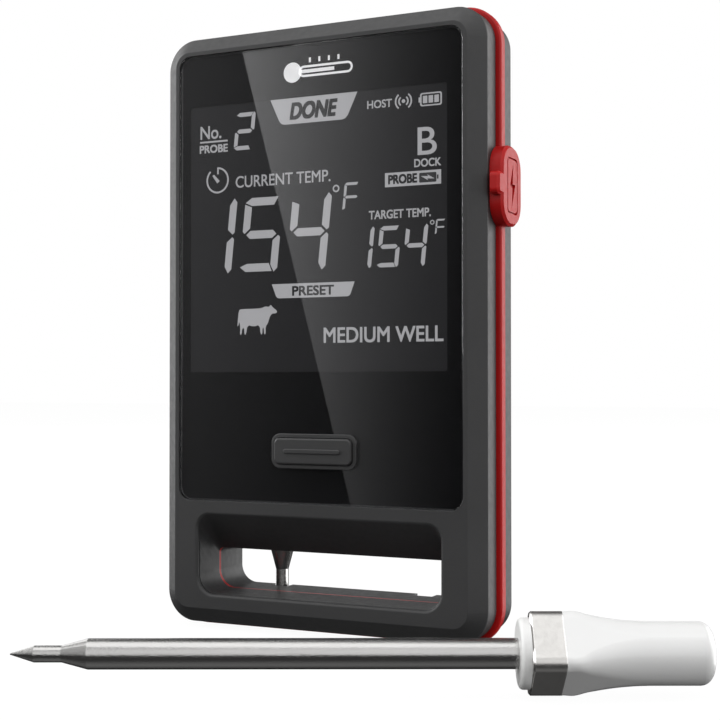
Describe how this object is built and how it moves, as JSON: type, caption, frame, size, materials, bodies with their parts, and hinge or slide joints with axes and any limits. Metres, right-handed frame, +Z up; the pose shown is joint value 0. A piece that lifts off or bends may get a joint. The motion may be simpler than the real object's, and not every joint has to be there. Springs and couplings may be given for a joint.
{
  "type": "meat thermometer",
  "caption": "Wireless meat thermometer: upright display dock with hand slot, front button, hinged side port cover, one pointed steel probe docked behind and one lying in front.",
  "frame": {"origin": "on the surface the dock stands on, under the middle of its red seal band, at the middle of its width", "axes": "+X to the display's right, +Y to the rear (the magnetic face looks along +Y), +Z up"},
  "size_m": [0.1344, 0.0999, 0.1392],
  "materials": {
    "housing_plastic": "fine matte moulded texture",
    "red_elastomer": "satin",
    "window_acrylic": "polished",
    "black_film": "matte",
    "lcd_glass": "polished",
    "frame_plastic": "matte",
    "guide_acrylic": "frosted",
    "ribbon_film": "satin",
    "circuit_board": "satin",
    "tinned_steel": "satin",
    "black_plastic": "matte",
    "button_plastic": "fine matte",
    "cell_foil": "satin",
    "foam_rubber": "matte",
    "gilt_brass": "polished",
    "magnet_nickel": "satin",
    "zinc_steel": "satin",
    "pad_rubber": "matte",
    "screw_steel": "black oxide",
    "probe_steel": "brushed along the length",
    "collar_steel": "fine bead blasted",
    "ring_polymer": "satin",
    "white_ceramic": "glazed",
    "antenna_copper": "satin"
  },
  "bodies": {
    "dock": {"front_housing": "housing_plastic", "rear_housing": "housing_plastic", "seal_band": "red_elastomer", "display_window": "window_acrylic", "window_gasket": "black_film", "lcd_panel": "lcd_glass", "lcd_frame": "frame_plastic", "light_guide": "guide_acrylic", "lcd_ribbon": "ribbon_film", "main_board": "circuit_board", "radio_shield": "tinned_steel", "buzzer": "black_plastic", "button_bezel": "button_plastic", "button_switch": "black_plastic", "usb_socket": "tinned_steel", "battery_cell": "cell_foil", "battery_pad": "foam_rubber", "charge_pins": "gilt_brass", "dock_magnets": "magnet_nickel", "holding_magnets": "magnet_nickel", "magnet_yoke": "zinc_steel", "grip_pad": "pad_rubber", "housing_screws": "screw_steel", "board_screws": "screw_steel"},
    "button": {"button_cap": "button_plastic", "switch_plunger": "black_plastic"},
    "port_cover": {"port_cover": "red_elastomer"},
    "docked_probe": {"docked_probe_tip": "probe_steel", "docked_probe_tube": "probe_steel", "docked_probe_seal_ring": "ring_polymer", "docked_probe_collar": "collar_steel", "docked_probe_handle": "white_ceramic", "docked_probe_sensor_board": "circuit_board", "docked_probe_power_cell": "cell_foil", "docked_probe_antenna": "antenna_copper"},
    "loose_probe": {"loose_probe_tip": "probe_steel", "loose_probe_tube": "probe_steel", "loose_probe_seal_ring": "ring_polymer", "loose_probe_collar": "collar_steel", "loose_probe_handle": "white_ceramic", "loose_probe_sensor_board": "circuit_board", "loose_probe_power_cell": "cell_foil", "loose_probe_antenna": "antenna_copper"}
  },
  "joints": [
    {"name": "button_press", "type": "slide", "parent": "dock", "child": "button", "axis": [0, 1, 0], "range_m": [0, 0.0005], "stiffness_N_per_m": 1500, "springref_m": -0.0002},
    {"name": "port_cover_hinge", "type": "hinge", "parent": "dock", "child": "port_cover", "pos_m": [0.0412, 0.00585, 0.0995], "axis": [0, 0, 1], "range_deg": [0, 95]},
    {"name": "docked_probe_lift", "type": "slide", "parent": "dock", "child": "docked_probe", "axis": [0, 1, 0], "range_m": [0, 0.04]},
    {"name": "loose_probe_travel", "type": "slide", "parent": "dock", "child": "loose_probe", "axis": [-0.8965, -0.4431, 0], "range_m": [0, 0.06]}
  ]
}
